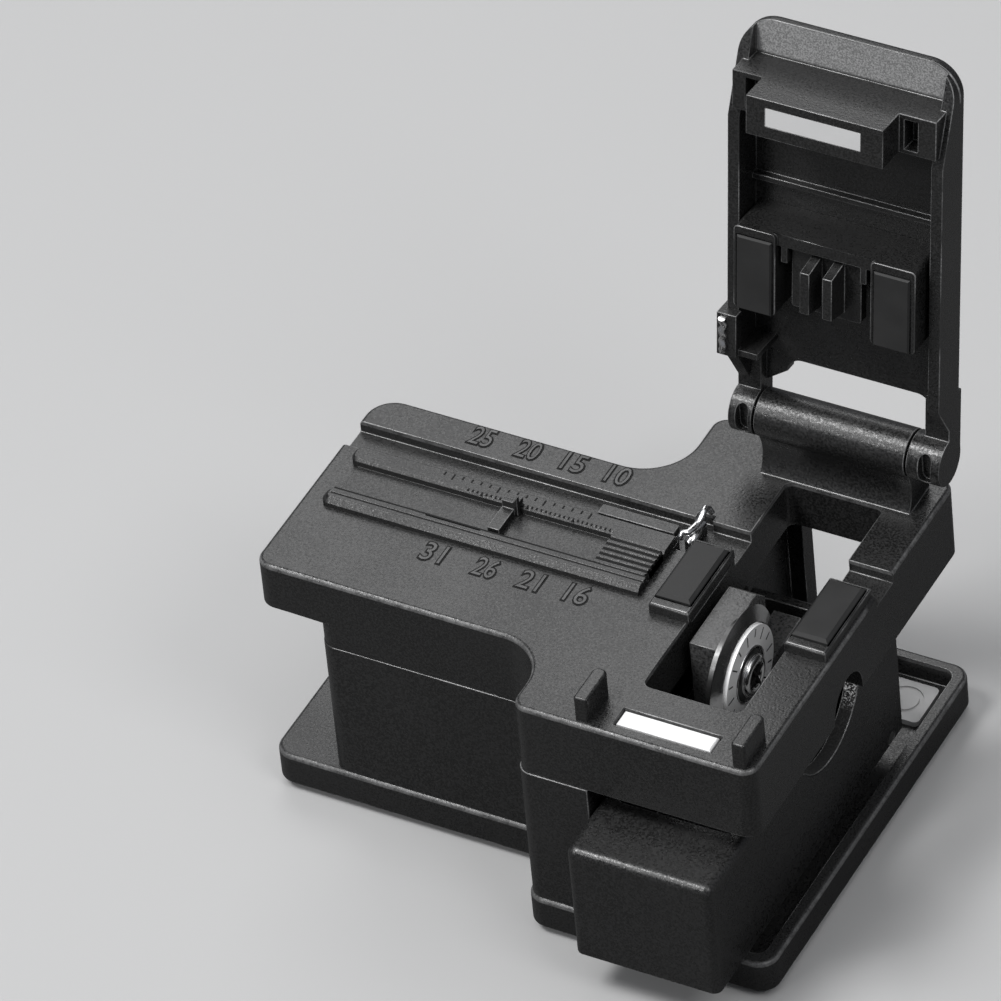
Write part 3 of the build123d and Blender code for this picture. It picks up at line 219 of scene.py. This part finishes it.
def paintedRimLight(s, tone, grain, y, z):
    # the cut face of the side hole: a painted highlight, a sparkling grainy patch, near the top, and painted
    # shade, dull black, below
    across = y - sideHole["y"] * mm
    up = z - (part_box("blade")[0].z + sideHole["rise"] * mm)
    off = abs((across * across + up * up) ** 0.5 - sideHole["radius"] * mm)
    near, far = [distance * mm for distance in sideHole["near"]]
    low, high = [distance * mm for distance in sideHole["reach"]]
    grains = s.ramp(s.noise(grain * 1.1, 2.0), 0.5, 0.62)
    patch = s.ramp(abs(up + sideHole["patch"] * mm), low, high, 1.0, 0.0) * grains
    dark, pale = [grey(tone * share) for share in sideHole["tones"]]
    return s.mix(patch, dark, pale), s.ramp(off, near, far, 1.0, 0.0), sideHole["dull"]


def highlightBand(height, depth, channel=None):
    # a painted highlight along an edge: a thin pale band just under a height
    # a channel, given by its middle and half width, is left out
    def extra(s, tone, grain, y, z):
        middle = height - depth * 0.55
        where = s.ramp(abs(z - middle), depth * 0.3, depth * 0.45, 1.0, 0.0)
        patches = s.ramp(s.noise(900.0) + s.noise(grain, 2.0) * 0.5, 0.5, 0.95)
        if channel:
            where = where * s.ramp(abs(y - channel[0]), channel[1], channel[1] + 0.3 * mm)
        return s.mix(patches, grey(tone * 3.0), grey(tone * 10.0)), where * 0.9, 0.0
    return extra


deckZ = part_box("fibre_guide")[0].z
bandDepth = 0.5 * mm
black = sparkPlastic("blackPlastic", 0.018, 4400.0, 0.33)
deckHighlight = highlightBand(deckZ, bandDepth, (5.8 * mm, 2.4 * mm))
coverPlastic = sparkPlastic("coverPlastic", 0.018, 4400.0, 0.33, deckHighlight, 0.06)
blackFine = sparkPlastic("blackPlasticFine", 0.015, 5200.0, 0.34)
blackCoarse = sparkPlastic("blackPlasticCoarse", 0.07, 3600.0, 0.36, depth=0.08)
baseHighlight = highlightBand(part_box("base_plate")[1].z, bandDepth)
blackBase = sparkPlastic("blackPlasticBase", 0.017, 5200.0, 0.36, baseHighlight)
lidPlastic = sparkPlastic("lidPlastic", 0.018, 4600.0, 0.33, paintedLitTip)
carriagePlastic = sparkPlastic("carriagePlastic", 0.018, 4600.0, 0.33, paintedRimLight)
edgeHighlight = paintedHighlight("edgeHighlight", 0.2, 0.2)
padRubber = smoothRubber("padRubber", 0.026)
matRubber = smoothRubber("matRubber", 0.03, 0.8)
palePad = smoothRubber("palePad", 0.42, 0.7)
magnetFace = metal("magnetFace", 0.8, 0.25, (1.0, 0.15, 1.0), dirt=0.08, metallic=0.1)
dialFace = metal("dialFace", 0.98, 0.3, (0.2, 1.0, 1.0), dirt=0.04, metallic=0.05)
polished = metal("polished", 0.85, 0.12, dirt=0.12)
ground = metal("ground", 0.6, 0.22, (0.12, 1.0, 1.0))
darkSteel = metal("darkSteel", 0.14, 0.32)
wireSteel = metal("wireSteel", 0.62, 0.2)

finish = {
    "top_cover": coverPlastic, "lower_housing": black, "base_plate": blackBase,
    "carriage": carriagePlastic, "lid": lidPlastic, "blade_holder": blackCoarse, "guide_posts": black,
    "fibre_guide": blackFine, "length_stop": blackFine, "left_pad_holder": blackFine,
    "right_pad_holder": blackFine, "pressure_block": blackFine, "lid_clip": blackFine, "anvil": blackFine,
    "lower_left_pad": padRubber, "lower_right_pad": padRubber, "upper_left_pad": padRubber,
    "upper_right_pad": padRubber, "anti_slip_mat": matRubber, "buffer_pad": palePad,
    "deck_magnet": magnetFace, "lid_magnet": magnetFace, "return_spring": wireSteel,
    "anvil_spring": wireSteel, "fibre_clip": polished, "clip_strip": polished, "blade_screw": polished,
    "blade": polished, "blade_dial": dialFace, "hinge_pin": ground, "linear_rail": ground, "runner": ground,
    "spring_pin": ground, "spring_post": ground, "case_screws": darkSteel, "rail_screws": darkSteel,
    "height_screw": darkSteel, "blade_drum": darkSteel,
}
softEdge = {  # width of the rounded edge in mm, and whether its rounding gets the painted highlight
    "top_cover": (0.09, True), "lower_housing": (0.09, True), "base_plate": (0.09, True),
    "carriage": (0.1, True), "lid": (0.08, True), "pressure_block": (0.09, True),
    "guide_posts": (0.08, True), "length_stop": (0.06, True), "left_pad_holder": (0.09, True),
    "right_pad_holder": (0.09, True), "lid_clip": (0.08, True), "anvil": (0.07, True),
    "blade_holder": (0.12, True), "fibre_guide": (0.04, False), "deck_magnet": (0.05, False),
    "blade_screw": (0.05, False),
}
# cleaning and rounding of the cad meshes, in mm and degrees
# the lid is welded coarser, because its shortest edges spike when they are rounded
edges = {"weld": 0.001, "lidWeld": 0.15, "flat": 0.5, "sharp": 35, "steps": 3, "split": 28, "bladeSplit": 14}
for name, obj in nodes.items():
    obj.data.materials.clear()
    obj.data.materials.append(finish[name])
    weld = obj.modifiers.new("weld", "WELD")
    weld.merge_threshold = edges["lidWeld" if name == "lid" else "weld"] * mm
    flat = obj.modifiers.new("flat", "DECIMATE")
    flat.decimate_type = "DISSOLVE"
    flat.angle_limit = math.radians(edges["flat"])
    obj.data.shade_smooth()
    if name in softEdge:
        width, getsHighlight = softEdge[name]
        bevel = obj.modifiers.new("soft", "BEVEL")
        bevel.width = width * mm
        bevel.segments = edges["steps"]
        bevel.limit_method = "ANGLE"
        bevel.angle_limit = math.radians(edges["sharp"])
        bevel.use_clamp_overlap = False
        bevel.miter_outer = "MITER_ARC"
        bevel.loop_slide = False
        if getsHighlight:
            obj.data.materials.append(edgeHighlight)
            bevel.material = 1
        normals = obj.modifiers.new("normals", "WEIGHTED_NORMAL")
        normals.keep_sharp = True
    else:
        split = obj.modifiers.new("split", "EDGE_SPLIT")
        split.split_angle = math.radians(edges["bladeSplit" if name == "blade" else "split"])
print("cad nodes finished")


# piece helpers
def link(name, data):
    obj = bpy.data.objects.new(name, data)
    bpy.context.scene.collection.objects.link(obj)
    return obj


def piece(name, bm, body, material, replaced=(), smooth=True):
    # rides on one body; given a tuple of bodies with a start and end, it is only baked in place and rides on
    # neither
    bmesh.ops.recalc_face_normals(bm, faces=bm.faces)
    made = bpy.data.meshes.new(name)
    bm.to_mesh(made)
    bm.free()
    obj = link(name, made)
    made.materials.append(material)
    if smooth:
        made.shade_smooth()
    if isinstance(body, tuple):
        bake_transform(obj)
    else:
        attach(obj, body)
    if replaced:
        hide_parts(*replaced)


def boxInto(bm, low, high):
    # a box between two corners in mm
    made = bmesh.ops.create_cube(bm, size=1.0)["verts"]
    size = [(h - l) * mm for l, h in zip(low, high)]
    middle = [(h + l) / 2 * mm for l, h in zip(low, high)]
    bmesh.ops.transform(bm, matrix=Matrix.Translation(middle) @ Matrix.Diagonal((*size, 1.0)), verts=made)
    return made


def curveInto(bm, curve):
    # turn a curve or a text into mesh inside bm, and return its vertices
    holder = link(curve.name, curve)
    bpy.context.view_layer.update()
    made = bpy.data.meshes.new_from_object(holder.evaluated_get(bpy.context.evaluated_depsgraph_get()))
    start = len(bm.verts)
    bm.from_mesh(made)
    bm.verts.ensure_lookup_table()
    bpy.data.objects.remove(holder)
    bpy.data.curves.remove(curve)
    bpy.data.meshes.remove(made)
    return bm.verts[start:]


def wireAlong(bm, points, radius):
    # a round wire through points given in metres
    curve = bpy.data.curves.new("wire", "CURVE")
    curve.dimensions = "3D"
    curve.bevel_depth = radius
    curve.bevel_resolution = 4
    curve.use_fill_caps = True
    spline = curve.splines.new("POLY")
    spline.points.add(len(points) - 1)
    for place, point in zip(spline.points, points):
        place.co = (*point, 1.0)
    curveInto(bm, curve)


def coilInto(bm, start, end, radius, wire, turns):
    # a coil spring between two points in metres: the wire's round section screwed about the axis
    axis = end - start
    along = axis.normalized()
    side = along.orthogonal().normalized()
    turn = Matrix((side, along, side.cross(along))).transposed().to_4x4()
    place = Matrix.Translation(start + side * radius) @ turn
    section = bmesh.ops.create_circle(bm, segments=8, radius=wire, matrix=place)["verts"]
    loop = list({edge for vert in section for edge in vert.link_edges})
    steps = turns * 20  # twenty to each turn
    bmesh.ops.spin(bm, geom=section + loop, cent=start, axis=along, dvec=axis / steps,
                   angle=turns * 2 * math.pi, steps=steps, use_merge=False)
    bmesh.ops.holes_fill(bm, edges=[edge for edge in bm.edges if edge.is_boundary], sides=0)


def lathe(bm, centre, profile):
    # turn a closed profile of (radius, x) pairs in mm about a line through the centre, along X
    verts = [bm.verts.new((x * mm, centre.y + radius * mm, centre.z)) for radius, x in profile]
    edges = [bm.edges.new(pair) for pair in zip(verts, verts[1:] + verts[:1])]
    bmesh.ops.spin(bm, geom=verts + edges, cent=(0, centre.y, centre.z), axis=(1, 0, 0), dvec=(0, 0, 0),
                   angle=2 * math.pi, steps=64, use_merge=True)


def glyphs(bm, text, height, width, depth, place, spread):
    # numerals as a solid relief, standing on a plane; a spread makes them bolder
    curve = bpy.data.curves.new("glyph", "FONT")
    curve.body = text
    curve.size = height * 1.37 * mm  # a digit is 1 / 1.37 of the font's size
    curve.align_x = "CENTER"
    curve.align_y = "CENTER"
    curve.extrude = depth * mm
    curve.offset = spread * mm
    curve.resolution_u = 3
    fresh = curveInto(bm, curve)
    across = [v.co.x for v in fresh]
    scale = (width + 2 * spread) * mm / (max(across) - min(across))
    bmesh.ops.transform(bm, matrix=Matrix.Translation(place) @ Matrix.Diagonal((scale, 1, 1, 1)), verts=fresh)


# numerals beside the guide, each with a painted shadow round it: a thin dark outline sheet beneath
# near-black: print for the scale ticks, and painted shade in grooves, the screw slot and round the numerals
inkAndShadeBlack = smoothRubber("inkAndShadeBlack", 0.003, 0.8)
# painted highlight: the raised numerals are painted paler than the deck
numeralHighlight = paintedHighlight("numeralHighlight", 0.045, 0.3)
numerals = {
    "height": 2.7, "width": 2.3,
    "rows": ((11.0, (("25", -36.0), ("20", -30.9), ("15", -26.1), ("10", -21.3))),
             (-5.9, (("31", -32.4), ("26", -26.9), ("21", -21.8), ("16", -17.2)))),
    "layers": (("deckNumerals", 0.09, -0.02, numeralHighlight), ("numeralShadows", 0.02, 0.17, inkAndShadeBlack)),
}
for name, depth, spread, look in numerals["layers"]:
    bm = bmesh.new()
    for y, labels in numerals["rows"]:
        for label, x in labels:
            glyphs(bm, label, numerals["height"], numerals["width"], depth, (x * mm, y * mm, deckZ), spread)
    piece(name, bm, "body", look, smooth=False)

# shade lying in the grooves of the front rail and between the ribs at the clamp end
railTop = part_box("fibre_guide")[1].z / mm
grooves = {
    "rail": {"x": (-45.6, -11.5), "rows": (-1.85, -2.6), "half": 0.1, "sunk": (0.14, 0.06)},
    "ribs": {"x": (-17.25, -11.7), "rows": (-1.1, -0.35, 0.4, 1.15, 1.9), "half": 0.15, "sunk": (0.18, 0.1)},
}
bm = bmesh.new()
for group in grooves.values():
    left, right = group["x"]
    bottom, top = [railTop - sunk for sunk in group["sunk"]]
    for y in group["rows"]:
        boxInto(bm, (left, y - group["half"], bottom), (right, y + group["half"], top))
piece("guideGrooves", bm, "body", inkAndShadeBlack, smooth=False)

# two rows of ticks on the rear rail; in every so many, the one with the given remainder is long
ticks = {
    "half": 0.08, "sunk": 0.02, "raised": 0.03,
    "rows": ({"x": (-36.4, -20.4), "y": 4.25, "pitch": 1.0, "short": 0.45, "long": 0.8, "every": (5, 1)},
             {"x": (-33.2, -17.4), "y": 2.95, "pitch": 0.5, "short": 0.3375, "long": 0.56, "every": (10, 3)}),
}
bm = bmesh.new()
for row in ticks["rows"]:
    first, last = row["x"]
    every, remainder = row["every"]
    for step in range(int((last - first) / row["pitch"]) + 1):
        x = first + step * row["pitch"]
        length = row["long"] if step % every == remainder else row["short"]
        low = (x - ticks["half"], row["y"] - length, railTop - ticks["sunk"])
        boxInto(bm, low, (x + ticks["half"], row["y"], railTop + ticks["raised"]))
piece("scaleTicks", bm, "body", inkAndShadeBlack, smooth=False)

# return spring, stretched between its post and the carriage's pin
returnCoil = {"radius": 1.0, "wire": 0.2, "turns": 34}
low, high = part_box("return_spring")
middle = boxMiddle("return_spring")
postEnd, pinEnd = [Vector((middle.x, y, middle.z)) for y in (low.y, high.y)]
bm = bmesh.new()
coilInto(bm, postEnd, pinEnd, returnCoil["radius"] * mm, returnCoil["wire"] * mm, returnCoil["turns"])
piece("returnCoil", bm, ("body", "carriage_unit", postEnd, pinEnd), wireSteel,
      ["return_spring"])

# anvil spring, pressed between the lid and the anvil
anvilCoil = {"radius": 1.0, "wire": 0.2, "turns": 4, "half": 1.15}
middle = boxMiddle("anvil_spring")
reach = lidOut * anvilCoil["half"] * mm
whole = lidOut * (anvilCoil["half"] + anvilCoil["wire"]) * mm
bm = bmesh.new()
coilInto(bm, middle - reach, middle + reach, anvilCoil["radius"] * mm, anvilCoil["wire"] * mm,
         anvilCoil["turns"])
piece("anvilCoil", bm, ("lid_unit", "anvil_unit", middle - whole, middle + whole), wireSteel,
      ["anvil_spring"])

# ticks of the blade dial
hub = boxMiddle("blade_dial")
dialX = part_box("blade_dial")[1].x
dial = {"marks": 16, "inner": 3.55, "shorter": 0.35, "outer": 4.75, "half": 0.07, "sunk": 0.01,
        "raised": 0.025}
bm = bmesh.new()
for index in range(dial["marks"]):
    low = (-dial["sunk"], -dial["half"], dial["inner"] + (dial["shorter"] if index % 2 else 0))
    made = boxInto(bm, low, (dial["raised"], dial["half"], dial["outer"]))
    turn = Matrix.Rotation(2 * math.pi * index / dial["marks"], 4, "X")
    bmesh.ops.transform(bm, matrix=Matrix.Translation((dialX, hub.y, hub.z)) @ turn, verts=made)
piece("dialMarks", bm, "blade_unit", smoothRubber("dialInk", 0.02, 0.5), smooth=False)

# a dark ring sunk round the screw, painted shade of the gap there; domed head with its rim; and cross slot of
# the blade screw
screw = {
    "ring": {"outer": 2.75, "inner": 2.55, "height": 0.3, "sunk": 0.1}, "rim": {"radius": 2.9, "thick": 0.12},
    "dome": ((1.0, 0.0), (1.25, 0.3), (1.7, 0.36), (2.05, 0.2), (2.18, -0.2)),  # radius and rise
    "slot": {"half": 0.14, "reach": 1.5, "sunk": 0.3, "raised": 0.35, "turned": 0.4},
}
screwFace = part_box("blade_screw")[1].x / mm
ring = screw["ring"]
place = Matrix.Translation((dialX - ring["sunk"] * mm, hub.y, hub.z)) @ Matrix.Rotation(math.pi / 2, 4, "Y")
bm = bmesh.new()
bmesh.ops.create_cone(bm, cap_ends=True, segments=64, radius1=ring["outer"] * mm,
                      radius2=ring["inner"] * mm, depth=ring["height"] * mm, matrix=place)
piece("dialHubRing", bm, "blade_unit", darkSteel)

rim = screw["rim"]
around = [(math.cos(index * math.pi / 4), math.sin(index * math.pi / 4)) for index in range(8)]
bm = bmesh.new()
lathe(bm, hub, [(radius, screwFace + rise) for radius, rise in screw["dome"]])
lathe(bm, hub, [(rim["radius"] + rim["thick"] * c, dialX / mm + rim["thick"] * s) for c, s in around])
piece("bladeScrewDome", bm, "blade_unit", polished)

# painted shade: the cross slot is a dark cross standing for the shade in its recess
slot = screw["slot"]
bm = bmesh.new()
for angle in (slot["turned"], slot["turned"] + math.pi / 2):
    low = (screwFace - slot["sunk"], -slot["half"], -slot["reach"])
    made = boxInto(bm, low, (screwFace + slot["raised"], slot["half"], slot["reach"]))
    turn = Matrix.Rotation(angle, 4, "X")
    bmesh.ops.transform(bm, matrix=Matrix.Translation((0, hub.y, hub.z)) @ turn, verts=made)
piece("bladeScrewSlots", bm, "blade_unit", inkAndShadeBlack, smooth=False)

# bright clip in the fibre channel: its foot and the bends of its wire, as y, rise and sideways place
clip = {
    "wire": 0.34, "x": -10.5, "z": 29.9, "foot": ((-10.9, 5.2, 28.3), (-10.1, 8.4, 29.6)),
    "bends": ((5.3, -0.3, -0.9), (5.5, 0.35, -0.7), (5.9, 0.1, -0.35), (6.5, 0.25, -0.1), (7.1, 0.1, -0.1),
              (7.8, 0.45, 0.1), (8.4, 0.9, 0.15), (8.9, 1.0, 0.1), (9.2, 0.75, 0.35), (9.25, 0.2, 0.6)),
}
bm = bmesh.new()
path = [Vector((clip["x"] + aside, along, clip["z"] + rise)) * mm for along, rise, aside in clip["bends"]]
wireAlong(bm, path, clip["wire"] * mm)
boxInto(bm, *clip["foot"])
piece("fibreClipSpring", bm, "body", polished, ["fibre_clip"])

# bright strip in the clip box of the lid, with two waves of its own
strip = {"wire": 0.36, "length": 3.9, "points": 13, "outWave": (0.12, 16), "sideWave": (0.14, 21)}
outWave, sideWave = strip["outWave"], strip["sideWave"]  # each a height in mm and the radians along the strip
middle = boxMiddle("clip_strip")
path = []
for step in range(strip["points"]):
    share = step / (strip["points"] - 1) - 0.5
    outward = lidOut * outWave[0] * math.sin(share * outWave[1])
    aside = Vector((sideWave[0] * math.cos(share * sideWave[1]), 0, 0))
    path.append(middle + (lidUp * share * strip["length"] + outward + aside) * mm)
bm = bmesh.new()
wireAlong(bm, path, strip["wire"] * mm)
piece("clipStripSpring", bm, "lid_unit", polished, ["clip_strip"])

# knurled head of the height screw
knurl = {"radius": 2.25, "teeth": 48, "depth": 0.1, "head": 1.8}
middle = boxMiddle("height_screw")
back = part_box("height_screw")[1].x - knurl["head"] * mm
bm = bmesh.new()
teeth = bmesh.ops.create_circle(bm, cap_ends=True, segments=knurl["teeth"] * 2,
                                radius=knurl["radius"] * mm)["verts"]
for valley in teeth[1::2]:
    valley.co *= 1 - knurl["depth"] / knurl["radius"]
place = Matrix.Translation((back, middle.y, middle.z)) @ Matrix.Rotation(math.pi / 2, 4, "Y")
bmesh.ops.transform(bm, matrix=place, verts=teeth)
grown = bmesh.ops.extrude_face_region(bm, geom=bm.faces[:])["geom"]
front = [item for item in grown if isinstance(item, bmesh.types.BMVert)]
bmesh.ops.translate(bm, vec=(knurl["head"] * mm, 0, 0), verts=front)
piece("heightScrewKnurl", bm, "carriage_unit", wireSteel, smooth=False)
print("added pieces done")


# stage, light and camera
def floorPaint(name, tone, bounced):
    # pale where the camera looks at it, darker for the light that it returns
    s = Shade(name)
    seen = s.node("ShaderNodeLightPath")("Is Camera Ray")
    colour = s.mix(s.ramp(s.noise(3.0, 2.0), 0.3, 0.7), grey(tone), grey(tone * 0.97))
    return s.set(base_color=s.mix(seen, grey(bounced), colour), roughness=0.9, specular_ior_level=0.0)


stage = {"size": 4.0, "tone": 0.5, "bounced": 0.13}
floorMesh = bpy.data.meshes.new("floor")
bm = bmesh.new()
bmesh.ops.create_grid(bm, x_segments=1, y_segments=1, size=stage["size"])
bm.to_mesh(floorMesh)
bm.free()
floorMesh.materials.append(floorPaint("floorPaint", stage["tone"], stage["bounced"]))
link("floor", floorMesh)

aim = Vector((-0.02, 0.0, 0.03))
lamps = {  # place, size and power
    "key": ((-0.42, 0.62, 0.72), (0.55, 0.55), 2.5),
    "overhead": ((0.05, -0.05, 0.9), (0.7, 0.7), 1.8),
    "side": ((0.52, -0.2, 0.66), (0.3, 0.3), 1.4),
    "front": ((-0.32, -0.66, 0.58), (0.22, 0.16), 1.6),
    "glint": ((-0.36, -0.3, 0.87), (0.3, 0.3), 5.6),
}
for name, (place, size, power) in lamps.items():
    data = bpy.data.lights.new(name, "AREA")
    data.shape = "RECTANGLE"
    data.size, data.size_y = size
    data.energy = power
    lamp = link(name, data)
    lamp.location = place
    lamp.rotation_euler = (aim - Vector(place)).to_track_quat("-Z", "Y").to_euler()

scene = bpy.context.scene
scene.world = bpy.data.worlds.new("studio")
scene.world.use_nodes = True
background = scene.world.node_tree.nodes["Background"]
background.inputs["Color"].default_value = (0.9, 0.93, 1.0, 1.0)
background.inputs["Strength"].default_value = 0.18

# the photograph's viewpoint
view = {"eye": (0.34947, -0.62112, 0.67858), "at": (-0.028656, 0.001082, 0.032132),
        "up": (-0.253953, 0.618373, 0.743723), "lens": 360.67, "clip": (0.05, 20.0)}
camera = link("camera", bpy.data.cameras.new("camera"))
camera.data.sensor_width = 36.0
camera.data.lens = view["lens"]
camera.data.clip_start, camera.data.clip_end = view["clip"]
eye = Vector(view["eye"])
forward = (Vector(view["at"]) - eye).normalized()
right = forward.cross(Vector(view["up"])).normalized()
up = right.cross(forward)
camera.matrix_world = Matrix.Translation(eye) @ Matrix((right, up, -forward)).transposed().to_4x4()
scene.camera = camera
scene.view_settings.view_transform = "Standard"
print("floor, lamps and camera set")
